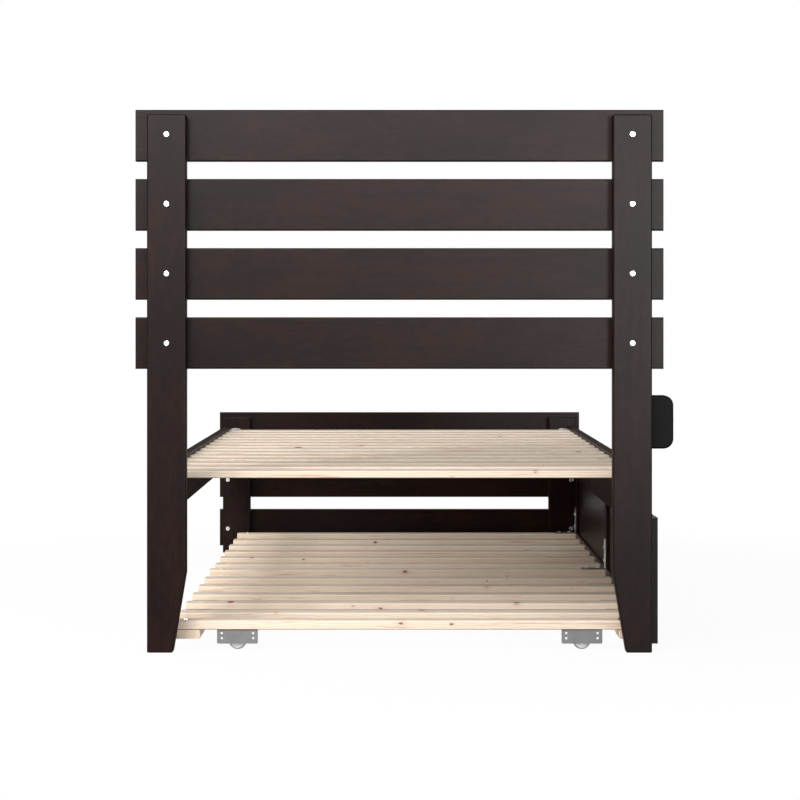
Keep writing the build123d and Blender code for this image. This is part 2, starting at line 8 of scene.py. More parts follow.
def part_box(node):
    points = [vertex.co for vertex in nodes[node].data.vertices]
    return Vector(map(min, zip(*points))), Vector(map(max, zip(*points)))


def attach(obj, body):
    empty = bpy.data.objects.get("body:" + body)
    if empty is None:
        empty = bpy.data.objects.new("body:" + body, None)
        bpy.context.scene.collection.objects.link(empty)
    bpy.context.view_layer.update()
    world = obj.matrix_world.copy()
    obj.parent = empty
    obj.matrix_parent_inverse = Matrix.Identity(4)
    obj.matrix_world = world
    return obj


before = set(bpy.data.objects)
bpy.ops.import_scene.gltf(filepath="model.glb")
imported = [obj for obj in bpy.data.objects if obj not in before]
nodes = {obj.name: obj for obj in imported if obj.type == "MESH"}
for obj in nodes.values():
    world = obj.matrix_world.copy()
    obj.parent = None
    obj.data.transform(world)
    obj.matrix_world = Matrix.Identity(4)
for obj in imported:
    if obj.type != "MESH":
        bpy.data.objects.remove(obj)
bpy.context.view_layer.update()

# The bed's own zero, on the centre plane at the wall face, as it lies in the row frame
BED_ZERO = Vector((-0.0105, -1.0155, 0.0))
MM = 0.001


def bed(x, y, z):
    """A point in bed millimetres as metres in the row frame."""
    return BED_ZERO + Vector((x, y, z)) * MM


def neutral(level):
    """A grey as a colour."""
    return (level, level, level, 1.0)


def even(count):
    """The same count along every axis."""
    return (count, count, count)


# Camera: level, on the centre plane, with the picture shifted down as in the photograph
PICTURE = 800
FOCAL_PIXELS = 2225.0
SENSOR_MM = 36.0
EYE_DISTANCE = 4590.0
EYE_HEIGHT = 686.0
VANISHING_POINT = (399.5, 320.4)
LEVEL = math.radians(90)

camera_data = bpy.data.cameras.new("photo_camera")
camera_data.sensor_width = SENSOR_MM
camera_data.lens = FOCAL_PIXELS / PICTURE * SENSOR_MM
camera_data.shift_x = (PICTURE / 2 - VANISHING_POINT[0]) / PICTURE
camera_data.shift_y = (VANISHING_POINT[1] - PICTURE / 2) / PICTURE
camera = bpy.data.objects.new("photo_camera", camera_data)
camera.location = bed(0, -EYE_DISTANCE, EYE_HEIGHT)
camera.rotation_euler = (LEVEL, 0, 0)
bpy.context.scene.collection.objects.link(camera)
bpy.context.scene.camera = camera
bpy.context.scene.view_settings.view_transform = "Standard"

# Sockets of a node that mixes colours
MIX_SHARE, MIX_FIRST, MIX_SECOND, MIX_RESULT = 0, 6, 7, 2
# Openness at which the painted shade in a recess starts and at which it is full
RECESS_SHADE_OPENNESS = (0.92, 0.35)
RECESS_SHADE_SAMPLES = 6
# Axes in the order along the grain, across it, and across it again
GRAIN_ORDER = {"X": (0, 1, 2), "Y": (1, 0, 2), "Z": (2, 0, 1)}


class Nodes:
    """A node tree under construction: each call adds nodes and returns an output."""

    def __init__(self, tree):
        self.tree = tree

    def node(self, kind, **settings):
        made = self.tree.nodes.new("ShaderNode" + kind)
        for key, value in settings.items():
            setattr(made, key, value)
        return made

    def put(self, socket, value):
        """Link an output to a socket, or set the socket to a constant."""
        if isinstance(value, bpy.types.NodeSocket):
            self.tree.links.new(value, socket)
        else:
            socket.default_value = value

    def fill(self, made, values):
        """Put values in a node's first sockets."""
        for socket, value in zip(made.inputs, values):
            self.put(socket, value)
        return made

    def math(self, operation, *values):
        return self.fill(self.node("Math", operation=operation), values).outputs[0]

    def vector(self, operation, *values):
        made = self.fill(self.node("VectorMath", operation=operation), values)
        return made.outputs["Value" if operation in ("LENGTH", "DOT_PRODUCT") else "Vector"]

    def split(self, vector):
        return list(self.fill(self.node("SeparateXYZ"), [vector]).outputs)

    def join(self, x, y, z):
        return self.fill(self.node("CombineXYZ"), (x, y, z)).outputs[0]

    def mix(self, share, first, second, blend="MIX"):
        made = self.node("Mix", data_type="RGBA", blend_type=blend)
        self.put(made.inputs[MIX_SHARE], share)
        self.put(made.inputs[MIX_FIRST], first)
        self.put(made.inputs[MIX_SECOND], second)
        return made.outputs[MIX_RESULT]

    def layer(self, under, over, mask, share):
        """One colour laid over another by a share of a mask."""
        return self.mix(self.math("MULTIPLY", mask, share), under, over)

    def weigh(self, first, first_share, second, second_share):
        """Two values, each times its share, added up."""
        return self.math("ADD", self.math("MULTIPLY", first, first_share),
                         self.math("MULTIPLY", second, second_share))

    def swing(self, noise, reach):
        """A 0 to 1 noise as a swing about zero, over a reach from end to end."""
        return self.math("MULTIPLY", self.math("SUBTRACT", noise, 0.5), reach)

    def noise(self, vector, stretch, detail, rough=0.5):
        """Noise over coordinates that are first stretched, each by its own count per metre."""
        made = self.node("TexNoise", noise_dimensions="3D")
        self.put(made.inputs["Vector"], self.vector("MULTIPLY", vector, stretch))
        made.inputs["Scale"].default_value = 1.0
        made.inputs["Detail"].default_value = detail
        made.inputs["Roughness"].default_value = rough
        return made.outputs[0]

    def ramp(self, value, low, high):
        """0 at low, 1 at high, smooth between and flat outside; low may be the larger."""
        made = self.node("MapRange", interpolation_type="SMOOTHSTEP")
        self.put(made.inputs["Value"], value)
        self.put(made.inputs["From Min"], low)
        self.put(made.inputs["From Max"], high)
        return made.outputs[0]

    def span(self, value, low, high):
        """A 0 to 1 value moved to run from low to high."""
        made = self.node("MapRange")
        self.put(made.inputs["Value"], value)
        self.put(made.inputs["To Min"], low)
        self.put(made.inputs["To Max"], high)
        return made.outputs[0]

    def seen(self):
        """1 for rays of the camera and for what gloss and glass show."""
        path = self.node("LightPath").outputs
        direct = self.math("MAXIMUM", path["Is Camera Ray"], path["Is Glossy Ray"])
        return self.math("MAXIMUM", direct, path["Is Transmission Ray"])


class Shading(Nodes):
    """A material under construction."""

    def __init__(self, name):
        self.material = bpy.data.materials.new(name)
        self.material.use_nodes = True
        super().__init__(self.material.node_tree)
        self.shader = self.tree.nodes["Principled BSDF"]

    def surface(self, name, value):
        self.put(self.shader.inputs[name], value)

    def bump(self, height, distance, strength):
        made = self.node("Bump")
        self.put(made.inputs["Height"], height)
        made.inputs["Distance"].default_value = distance
        made.inputs["Strength"].default_value = strength
        self.surface("Normal", made.outputs[0])

    def place(self):
        """Where a point is on its own body, in metres in the row frame."""
        return self.node("TexCoord").outputs["Object"]

    def grain(self, axis):
        """The place with its coordinates reordered, so that the first runs along the grain."""
        parts = self.split(self.place())
        return self.join(*[parts[i] for i in GRAIN_ORDER[axis]])

    def normal(self):
        return self.node("NewGeometry").outputs["Normal"]

    def facing(self, axis):
        """1 on faces across an axis, 0 on faces along it."""
        return self.split(self.vector("ABSOLUTE", self.normal()))["XYZ".index(axis)]

    def end_grain(self, axis):
        """1 on faces across the grain."""
        return self.ramp(self.facing(axis), 0.6, 0.9)

    def arris(self, flat=0.985, full=0.86):
        """1 on rounded arrises of square boards, 0 on their flat faces."""
        x, y, z = self.split(self.vector("ABSOLUTE", self.normal()))
        largest = self.math("MAXIMUM", self.math("MAXIMUM", x, y), z)
        return self.ramp(largest, flat, full)

    def recess_shade(self, reach):
        """A mask for painted shade: 1 deep in corners and recesses narrower than a reach, 0 in the open."""
        made = self.node("AmbientOcclusion", samples=RECESS_SHADE_SAMPLES)
        made.inputs["Distance"].default_value = reach
        return self.ramp(made.outputs["AO"], *RECESS_SHADE_OPENNESS)


# Dark stained wood: its colours, and its noises' counts per metre along the grain and across it
STAIN_DARK = (0.0074, 0.0028, 0.0024, 1.0)
STAIN_RED = (0.0180, 0.0056, 0.0042, 1.0)
# The deep colour darkens streaks, fibres and end grain, and is also the painted shade on arrises
STAIN_DEEP_AND_SHADE = (0.0033, 0.0014, 0.0011, 1.0)
STAIN_WORN = (0.0300, 0.0180, 0.0150, 1.0)
STAIN_BLOTCHES = (3.5, 9.0, 9.0)
STAIN_FLECKS = (38.0, 110.0, 110.0)
STAIN_STREAKS = (3.0, 85.0, 85.0)
STAIN_FIBRES = (28.0, 900.0, 900.0)
STAIN_WEAR = (14.0, 60.0, 60.0)
STAIN_RELIEF = 0.0003
# Roughness added on arrises and below a height, and how soon the second sets in
ARRIS_DULLING = 0.25
LOW_DULLING = 0.34
LOW_BLEND = 0.004


def stained_wood(name, axis, smooth, rough, gloss, dull_faces=None, dull_below=None):
    """Stain under a thin satin lacquer, dull on its arrises and darkened there by painted shade.

    If they are given, it is also dull on faces across an axis, by an amount, and below a height.
    """
    s = Shading(name)
    grain = s.grain(axis)
    blotch = s.noise(grain, STAIN_BLOTCHES, detail=3.0, rough=0.55)
    fleck = s.noise(grain, STAIN_FLECKS, detail=4.0, rough=0.65)
    streak = s.noise(grain, STAIN_STREAKS, detail=4.0, rough=0.6)
    fibre = s.noise(grain, STAIN_FIBRES, detail=2.0, rough=0.6)
    colour = s.mix(s.ramp(s.weigh(blotch, 0.55, fleck, 0.45), 0.40, 0.64), STAIN_DARK, STAIN_RED)
    colour = s.layer(colour, STAIN_DEEP_AND_SHADE, s.ramp(streak, 0.50, 0.78), share=0.55)
    colour = s.layer(colour, STAIN_DEEP_AND_SHADE, s.ramp(fibre, 0.56, 0.74), share=0.40)
    colour = s.layer(colour, STAIN_DEEP_AND_SHADE, s.end_grain(axis), share=0.6)
    arris = s.arris()
    # Painted shade: the arrises darkened with the deep colour
    colour = s.layer(colour, STAIN_DEEP_AND_SHADE, arris, share=0.8)
    wear = s.ramp(s.noise(grain, STAIN_WEAR, detail=3.0), 0.60, 0.75)
    s.surface("Base Color", s.layer(colour, STAIN_WORN, arris, wear))
    dull = s.math("MULTIPLY", arris, ARRIS_DULLING)
    if dull_faces is not None:
        across, amount = dull_faces
        squarely = s.ramp(s.facing(across), 0.5, 0.9)
        dull = s.math("ADD", dull, s.math("MULTIPLY", squarely, amount))
    if dull_below is not None:
        low = s.ramp(s.split(s.place())[2], dull_below, dull_below - LOW_BLEND)
        dull = s.math("ADD", dull, s.math("MULTIPLY", low, LOW_DULLING))
    sheen = s.weigh(streak, 0.5, fibre, 0.5)
    s.surface("Roughness", s.math("ADD", s.span(sheen, smooth, rough), dull))
    s.surface("Specular IOR Level", gloss)
    s.bump(s.math("ADD", s.math("MULTIPLY", fibre, 0.5), streak), STAIN_RELIEF, strength=0.25)
    return s.material


# Bare planed pine: growth rings of a log, cut by each board in its own place, with knots
PINE_EARLY = (0.832, 0.712, 0.570, 1.0)
PINE_LATE = (0.670, 0.462, 0.334, 1.0)
PINE_HEART = (0.775, 0.626, 0.500, 1.0)
PINE_RESIN = (0.580, 0.260, 0.160, 1.0)
PINE_KNOT = (0.230, 0.062, 0.028, 1.0)
# The knot rims' colour, also used for the painted shade in corners and recesses
PINE_KNOT_RIM_AND_SHADE = (0.085, 0.024, 0.012, 1.0)
# Painted highlight on upper arrises, and painted shade on lower ones
PINE_ARRIS_HIGHLIGHT = (0.945, 0.825, 0.685, 1.0)
PINE_UNDERSIDE_SHADE = (0.300, 0.220, 0.150, 1.0)
# Painted shade on upward faces, for the deck and for the trundle and its runners
DECK_TOP_SHADE = (0.820, 0.800, 0.815, 1.0)
TRUNDLE_TOP_SHADE = (0.860, 0.910, 0.955, 1.0)
PINE_GLOSS = 0.22
PINE_ROUGHNESS = (0.74, 0.56)
PINE_RELIEF = 0.0002
# Reach of the painted shade in corners and recesses
PINE_SHADE_REACH = 0.006
# Counts of the pine's noises per metre along the grain and across it, and where some are taken
PINE_FIBRES = (14.0, 520.0, 520.0)
PINE_TONES = (1.6, 22.0, 22.0)
RESIN_FLECKS = (5.0, 190.0, 190.0)
RESIN_PLACE = (1.9, 0.6, 5.2)
KNOT_WOBBLES = (120.0, 260.0, 260.0)
PITH_BENDS = (0.9, 7.0, 7.0)
PITH_SWAYS = (0.7, 5.0, 5.0)
PITH_SWAY_PLACE = (7.3, 2.1, 0.4)
RING_WAVES = (8.0, 26.0, 26.0)
RING_WAVE_PLACE = (2.7, 8.8, 1.3)
# Knots: cells per metre, squeeze along each axis, largest and least radius, and wobble of the edge
KNOT_CELLS = Vector((6.2, 14.0, 45.0))
KNOT_OVAL = (0.55, 0.22, 1.0)
KNOT_SIZE = 0.0042
KNOT_LEAST = 0.0003
KNOT_WOBBLE = 0.0030
# Rings: width, where the pith lies under the board, and how far it and the rings wander
RING_WIDTH = 0.0056
RING_WAVE = 0.020
RING_HALO = 0.0040
PITH_DEPTHS = (0.010, 0.075)
PITH_BEND = 0.055
PITH_SWAY = 0.045
# Boards: the seed of their chances, and how far along the log each is cut from the one before
BOARD_SEED = 31.7
BOARD_STEP = 3.17


def pine_knots(s, timber):
    """Masks of knots, their rims and the halos round them, each knot an oval in its own cell."""
    scaled = s.vector("MULTIPLY", timber, KNOT_CELLS)
    cells = s.node("TexVoronoi", voronoi_dimensions="3D", feature="F1")
    cells.inputs["Scale"].default_value = 1.0
    s.put(cells.inputs["Vector"], scaled)
    offset = s.vector("DIVIDE", s.vector("SUBTRACT", scaled, cells.outputs["Position"]), KNOT_CELLS)
    wobble = s.swing(s.noise(timber, KNOT_WOBBLES, detail=2.0), KNOT_WOBBLE)
    reach = s.math("ADD", s.vector("LENGTH", s.vector("MULTIPLY", offset, KNOT_OVAL)), wobble)
    luck = s.split(cells.outputs["Color"])[0]
    size = s.math("MULTIPLY", s.ramp(luck, 0.30, 1.0), KNOT_SIZE)
    ratio = s.math("DIVIDE", reach, s.math("MAXIMUM", size, KNOT_LEAST))
    knot = s.ramp(ratio, 1.15, 0.70)
    rim = s.math("MULTIPLY", s.ramp(ratio, 0.60, 0.95), s.ramp(ratio, 1.30, 1.00))
    halo = s.ramp(ratio, 3.2, 1.0)
    return knot, rim, halo


def pine_rings(s, timber, side, depth, halo):
    """A mask of late wood, in growth rings about a pith that wanders along the board."""
    bend = s.swing(s.noise(timber, PITH_BENDS, detail=3.0, rough=0.55), PITH_BEND)
    sway_place = s.vector("ADD", timber, PITH_SWAY_PLACE)
    sway = s.swing(s.noise(sway_place, PITH_SWAYS, detail=2.0), PITH_SWAY)
    wave_place = s.vector("ADD", timber, RING_WAVE_PLACE)
    wave = s.noise(wave_place, RING_WAVES, detail=3.0, rough=0.55)
    radius = s.vector("LENGTH", s.join(s.math("ADD", side, bend), s.math("ADD", depth, sway), 0.0))
    radius = s.math("ADD", radius, s.weigh(halo, RING_HALO, wave, RING_WAVE))
    ring = s.math("FRACT", s.math("DIVIDE", radius, RING_WIDTH))
    return s.math("MULTIPLY", s.ramp(ring, 0.45, 0.88), s.ramp(ring, 1.0, 0.92))


def bare_pine(name, axis, first, pitch, top_shade):
    """Pine whose boards lie side by side across the grain, at a pitch from a first edge, darkened on top by
    painted shade.
    """
    s = Shading(name)
    grain = s.grain(axis)
    _, across, up = s.split(grain)
    number = s.math("FLOOR", s.math("DIVIDE", s.math("SUBTRACT", across, first), pitch))
    dice = s.node("TexWhiteNoise", noise_dimensions="1D")
    s.put(dice.inputs["W"], s.math("ADD", number, BOARD_SEED))
    chance = s.split(dice.outputs["Color"])
    timber = s.vector("ADD", grain, s.join(s.math("MULTIPLY", number, BOARD_STEP), 0.0, 0.0))

    knot, rim, halo = pine_knots(s, timber)
    pith = s.math("ADD", s.math("MULTIPLY", s.math("ADD", number, chance[0]), pitch), first)
    depth = s.math("ADD", up, s.span(chance[1], *PITH_DEPTHS))
    late = pine_rings(s, timber, s.math("SUBTRACT", across, pith), depth, halo)
    fibre = s.noise(timber, PINE_FIBRES, detail=3.0, rough=0.6)
    tone = s.noise(timber, PINE_TONES, detail=3.0)
    resin = s.noise(s.vector("ADD", timber, RESIN_PLACE), RESIN_FLECKS, detail=3.0, rough=0.6)
    heart = s.ramp(s.math("ADD", tone, s.math("MULTIPLY", chance[2], 0.22)), 0.46, 0.84)

    colour = s.layer(PINE_EARLY, PINE_HEART, heart, share=0.75)
    colour = s.layer(colour, PINE_LATE, late, s.span(chance[1], 0.22, 0.55))
    colour = s.layer(colour, PINE_LATE, s.ramp(fibre, 0.52, 0.80), share=0.24)
    colour = s.layer(colour, PINE_RESIN, s.ramp(resin, 0.58, 0.69), share=0.60)
    colour = s.layer(colour, PINE_RESIN, halo, share=0.26)
    colour = s.layer(colour, PINE_KNOT, knot, share=0.92)
    colour = s.layer(colour, PINE_KNOT_RIM_AND_SHADE, rim, share=0.65)
    colour = s.layer(colour, PINE_LATE, s.end_grain(axis), share=0.25)
    facing_up = s.split(s.normal())[2]
    # Painted shade: upward faces darkened by the top shade
    colour = s.mix(s.ramp(facing_up, 0.80, 0.97), colour, top_shade, blend="MULTIPLY")
    arris = s.arris(flat=0.998, full=0.960)
    # Painted highlight on upper arrises and painted shade on lower arrises
    colour = s.layer(colour, PINE_ARRIS_HIGHLIGHT, arris, s.ramp(facing_up, 0.10, 0.35))
    colour = s.layer(colour, PINE_UNDERSIDE_SHADE, arris, s.ramp(facing_up, -0.10, -0.35))
    # Painted shade in corners and recesses, such as the screws' countersinks
    colour = s.layer(colour, PINE_KNOT_RIM_AND_SHADE, s.recess_shade(PINE_SHADE_REACH), share=0.85)
    s.surface("Base Color", colour)
    s.surface("Roughness", s.span(s.weigh(late, 0.4, fibre, 0.6), *PINE_ROUGHNESS))
    s.surface("Specular IOR Level", PINE_GLOSS)
    s.bump(s.math("ADD", s.math("MULTIPLY", late, 0.5), fibre), PINE_RELIEF, strength=0.3)
    return s.material


# Zinc plate
ZINC_CLOUDS = even(180.0)
ZINC_SCRATCHES = (2600.0, 2600.0, 240.0)
ZINC_BLUE = 0.99
# Colour of the painted shade below a height
ZINC_LOW_SHADE = neutral(0.06)
# Colour and reach of the painted shade in recesses
ZINC_RECESS_SHADE = neutral(0.03)
ZINC_SHADE_REACH = 0.003
ZINC_RELIEF = 0.00005
# How soon the painted shade below a height sets in
LOW_SHADE_BLEND = 0.001


def zinc_steel(name, dull, bright, smooth, rough, metal=1.0, dark_below=None):
    """Zinc plate with faint clouds and brushing, painted shade in its recesses, and painted shade below a
    height if one is given.
    """
    s = Shading(name)
    place = s.place()
    cloud = s.noise(place, ZINC_CLOUDS, detail=4.0, rough=0.6)
    scratch = s.noise(place, ZINC_SCRATCHES, detail=2.0)
    colour = s.mix(s.ramp(cloud, 0.35, 0.70), neutral(dull), (bright, bright, bright * ZINC_BLUE, 1.0))
    # Painted shade below the given height
    if dark_below is not None:
        low = s.ramp(s.split(place)[2], dark_below + LOW_SHADE_BLEND, dark_below)
        colour = s.layer(colour, ZINC_LOW_SHADE, low, share=0.9)
    # Painted shade in recesses
    s.surface("Base Color", s.layer(colour, ZINC_RECESS_SHADE, s.recess_shade(ZINC_SHADE_REACH), share=0.85))
    s.surface("Metallic", metal)
    s.surface("Roughness", s.span(s.weigh(cloud, 0.6, scratch, 0.4), smooth, rough))
    s.bump(scratch, ZINC_RELIEF, strength=0.4)
    return s.material


# Satin grey coat on steel
COAT_DARK = (0.195, 0.195, 0.197, 1.0)
COAT_LIGHT = (0.218, 0.218, 0.220, 1.0)
# Colour of the painted shade in recesses
COAT_RECESS_SHADE = neutral(0.05)
COAT_WORN = neutral(0.42)
COAT_CLOUDS = even(60.0)
COAT_SPECKS = even(2200.0)
# Reach of the painted shade in recesses
COAT_SHADE_REACH = 0.006
COAT_RELIEF = 0.0001


def grey_steel():
    """Grey coat with faint clouds and specks, worn on its arrises, with painted shade in its recesses."""
    s = Shading("grey_steel")
    place = s.place()
    cloud = s.noise(place, COAT_CLOUDS, detail=3.0)
    speck = s.noise(place, COAT_SPECKS, detail=2.0, rough=0.6)
    colour = s.mix(s.ramp(cloud, 0.30, 0.72), COAT_DARK, COAT_LIGHT)
    # Painted shade in recesses
    colour = s.layer(colour, COAT_RECESS_SHADE, s.recess_shade(COAT_SHADE_REACH), share=0.6)
    s.surface("Base Color", s.layer(colour, COAT_WORN, s.arris(), share=0.35))
    s.surface("Specular IOR Level", 0.10)
    s.surface("Roughness", s.span(s.weigh(cloud, 0.5, speck, 0.5), 0.42, 0.58))
    s.bump(speck, COAT_RELIEF, strength=0.3)
    return s.material


# Nylon of the wheels, and the radii between which its side turns into the tread
NYLON_LIGHT = neutral(0.84)
NYLON_DARK = neutral(0.74)
NYLON_TREAD = neutral(0.150)
NYLON_DUST = even(350.0)
NYLON_RELIEF = 0.0001
TREAD_RADII = (0.0146, 0.0160)


def wheel_plastic(name, axle):
    """Pale moulded nylon with a dull grey tread, for a wheel about a point on its axle."""
    s = Shading(name)
    place = s.place()
    x, _, z = s.split(s.vector("SUBTRACT", place, tuple(axle)))
    tread = s.ramp(s.vector("LENGTH", s.join(x, z, 0.0)), *TREAD_RADII)
    dust = s.noise(place, NYLON_DUST, detail=3.0, rough=0.6)
    colour = s.mix(s.ramp(dust, 0.3, 0.8), NYLON_LIGHT, NYLON_DARK)
    s.surface("Base Color", s.layer(colour, NYLON_TREAD, tread, s.span(dust, 0.75, 1.0)))
    s.surface("Roughness", s.span(s.weigh(tread, 0.6, dust, 0.4), 0.30, 0.62))
    s.bump(dust, NYLON_RELIEF, strength=0.3)
    return s.material


# Black moulding of the charger
MOULDING_DARK = (0.0034, 0.0034, 0.0036, 1.0)
MOULDING_LIGHT = (0.0056, 0.0056, 0.0058, 1.0)
MOULDING_ARRIS = neutral(0.0012)
MOULDING_GRAIN = even(1500.0)
MOULDING_CLOUDS = even(35.0)
MOULDING_RELIEF = 0.00012


def black_plastic():
    """Matt black moulding with a fine grain and darker arrises."""
    s = Shading("black_plastic")
    place = s.place()
    grain = s.noise(place, MOULDING_GRAIN, detail=2.0)
    cloud = s.noise(place, MOULDING_CLOUDS, detail=3.0)
    colour = s.mix(s.ramp(cloud, 0.3, 0.7), MOULDING_DARK, MOULDING_LIGHT)
    s.surface("Base Color", s.layer(colour, MOULDING_ARRIS, s.arris(), share=0.6))
    s.surface("Roughness", s.span(grain, 0.50, 0.66))
    s.surface("Specular IOR Level", 0.04)
    s.bump(grain, MOULDING_RELIEF, strength=0.5)
    return s.material


def finish_nodes(material, *starts):
    """Give a material to every CAD node whose name starts with one of these."""
    for name, node in nodes.items():
        if name.startswith(starts):
            node.data.materials.clear()
            node.data.materials.append(material)


# Boards: pitch, and the edge of the first board's share of it, which starts a little before the board
BOARD_MARGIN = 0.030
DECK_PITCH = 0.1327
DECK_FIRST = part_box("deck_slat_01")[0].y - BOARD_MARGIN
TRUNDLE_PITCH = 0.157417
TRUNDLE_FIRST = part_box("trundle_cross_slat_1")[0].y - BOARD_MARGIN
RUNNER_PITCH = 0.5
RUNNER_FIRST = -0.6
# The trundle's angle brackets are darkened by painted shade up to this height, which takes in their flat
# flanges
BRACKET_SHADE_HEIGHT = 0.0026
CASTER_COUNT = 6

stain_slat = stained_wood("stained_slat", "X", smooth=0.31, rough=0.42, gloss=0.060)
stain_post = stained_wood("stained_post", "Z", smooth=0.31, rough=0.42, gloss=0.06, dull_faces=("X", 0.32))
stain_stile = stained_wood("stained_stile", "Z", smooth=0.42, rough=0.54, gloss=0.07,
                           dull_faces=("X", 0.26))
stain_rail = stained_wood("stained_rail", "Y", smooth=0.32, rough=0.44, gloss=0.03,
                          dull_faces=("Z", 0.45), dull_below=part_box("deck_slat_01")[1].z)
stain_panel_top = stained_wood("stained_panel_top", "Y", smooth=0.56, rough=0.70, gloss=0.015)
stain_ledge = stained_wood("stained_ledge", "Y", smooth=0.60, rough=0.74, gloss=0.006)
stain_panel = stained_wood("stained_panel", "Z", smooth=0.30, rough=0.42, gloss=0.02)
stain_panel_rail = stained_wood("stained_panel_rail", "Y", smooth=0.24, rough=0.36, gloss=0.05)
zinc = zinc_steel("zinc_steel", dull=0.66, bright=0.84, smooth=0.14, rough=0.30)
# A brighter, less metallic copy of the zinc, as a painted highlight on the bracket screws' heads
highlit_screw_zinc = zinc_steel("highlit_screw_zinc", dull=0.84, bright=0.94, smooth=0.30, rough=0.45, metal=0.3)
bracket_zinc = zinc_steel("bracket_zinc", dull=0.70, bright=0.84, smooth=0.26, rough=0.40,
                          dark_below=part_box("trundle_angle_brackets")[0].z + BRACKET_SHADE_HEIGHT)
corner_zinc = zinc_steel("corner_zinc", dull=0.16, bright=0.22, smooth=0.36, rough=0.54)
grey = grey_steel()
black = black_plastic()
finish_nodes(stain_slat, "headboard_slat", "footboard_slat")
finish_nodes(stain_post, "headboard_post", "footboard_post")
finish_nodes(stain_rail, "side_rail")
finish_nodes(stain_panel_top, "trundle_front_top")
finish_nodes(stain_ledge, "slat_ledge")
finish_nodes(stain_panel_rail, "trundle_front_bottom")
finish_nodes(stain_stile, "trundle_front_head_stile", "trundle_front_centre_stile",
             "trundle_front_foot_stile")
finish_nodes(stain_panel, "trundle_front_field")
finish_nodes(bare_pine("deck_pine", "X", DECK_FIRST, DECK_PITCH, DECK_TOP_SHADE), "deck_slat")
finish_nodes(bare_pine("trundle_pine", "X", TRUNDLE_FIRST, TRUNDLE_PITCH, TRUNDLE_TOP_SHADE),
             "trundle_cross_slat", "trundle_slats")
finish_nodes(bare_pine("runner_pine", "Y", RUNNER_FIRST, RUNNER_PITCH, TRUNDLE_TOP_SHADE), "trundle_runner")
finish_nodes(zinc, "headboard_bolts", "footboard_bolts", "corner_bracket_screws", "caster_axles",
             "charger_outlets")
finish_nodes(highlit_screw_zinc, "trundle_bracket_screws")
finish_nodes(corner_zinc, "corner_brackets")
finish_nodes(bracket_zinc, "trundle_angle_brackets")
finish_nodes(grey, "caster_housings")
finish_nodes(black, "charger_back_shell", "charger_front_cover", "charger_power_inlet")
for number in range(1, CASTER_COUNT + 1):
    low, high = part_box(f"caster_wheel_{number}")
    finish_nodes(wheel_plastic(f"wheel_plastic_{number}", (low + high) / 2), f"caster_wheel_{number}")


def add_piece(name, shape, material, body):
    """A finished bmesh as a piece that rides on a body."""
    bmesh.ops.recalc_face_normals(shape, faces=shape.faces)
    mesh = bpy.data.meshes.new(name)
    shape.to_mesh(mesh)
    shape.free()
    mesh.materials.append(material)
    piece = bpy.data.objects.new(name, mesh)
    bpy.context.scene.collection.objects.link(piece)
    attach(piece, body)
    return piece


# Slat screws in millimetres: heads as rings of radius and height over the wood, and their recesses
SUNK_HEAD = ((2.9, -1.4), (3.55, -0.85), (3.45, -0.75))
ROUND_HEAD = ((4.3, -0.1), (5.0, 0.0), (4.9, 1.0), (4.3, 2.1), (3.3, 2.8))
ROUND_CROWN = 0.2
RECESS_REACH = 1.9
RECESS_HALF_WIDTH = 0.5
RECESS_DEPTH = 1.3
RECESS_TAPER = 0.7
RECESS_FLOOR = 0.2
# Angles: from a recess corner to the next point of the rim, from one screw's turn to the next one's,
# and between faces whose edge stays sharp
RIM_STEP = 0.26
SPIN_STEP = 2.399
SHARP_ANGLE = math.radians(35)
QUARTER = math.pi / 2


def cross_radius(angle):
    """How far the recess reaches from the head's centre in one direction."""
    turned = abs((angle + QUARTER / 2) % QUARTER - QUARTER / 2)
    if math.tan(turned) <= RECESS_HALF_WIDTH / RECESS_REACH:
        return RECESS_REACH / math.cos(turned)
    return RECESS_HALF_WIDTH / math.sin(turned)


def head_angles():
    """Directions that meet every corner of the recess and keep the head's rim round."""
    corner = math.atan2(RECESS_HALF_WIDTH, RECESS_REACH)
    angles = [-corner, 0.0, corner, corner + RIM_STEP, QUARTER / 2, QUARTER - corner - RIM_STEP]
    return [turn * QUARTER + angle for turn in range(4) for angle in angles]


def add_screw_head(shape, centre, spin, head):
    """One head over or in the wood whose face is at centre, turned by spin."""
    angles = head_angles()
    top = head[-1][1]
    crown = top + (ROUND_CROWN if top > 0 else 0.0)
    recess_bottom = top - RECESS_DEPTH
    head_bottom = min(head[0][1], recess_bottom - RECESS_FLOOR)
    rings = []
    for radius, height in head:
        rings.append([(radius * math.cos(a), radius * math.sin(a), height) for a in angles])
    for share, height in ((1.0, crown), (RECESS_TAPER, recess_bottom)):
        reaches = [share * cross_radius(a) for a in angles]
        rings.append([(r * math.cos(a), r * math.sin(a), height) for r, a in zip(reaches, angles)])
    turn = Matrix.Rotation(spin, 3, "Z")
    made = [[shape.verts.new(centre + turn @ Vector(point) * MM) for point in ring] for ring in rings]
    bottom = shape.verts.new(centre + Vector((0, 0, recess_bottom)) * MM)
    under = shape.verts.new(centre + Vector((0, 0, head_bottom)) * MM)
    count = len(angles)
    for lower, upper in zip(made, made[1:]):
        for i in range(count):
            shape.faces.new((lower[i], lower[(i + 1) % count], upper[(i + 1) % count], upper[i]))
    for i in range(count):
        shape.faces.new((made[-1][i], made[-1][(i + 1) % count], bottom))
        shape.faces.new((made[0][(i + 1) % count], made[0][i], under))


def add_screws(name, places, body):
    """Heads at places, each given as a centre and a head's rings."""
    shape = bmesh.new()
    for index, (place, head) in enumerate(places):
        add_screw_head(shape, place, index * SPIN_STEP, head)
    piece = add_piece(name, shape, zinc, body)
    for face in piece.data.polygons:
        face.use_smooth = True
    piece.data.set_sharp_from_angle(angle=SHARP_ANGLE)


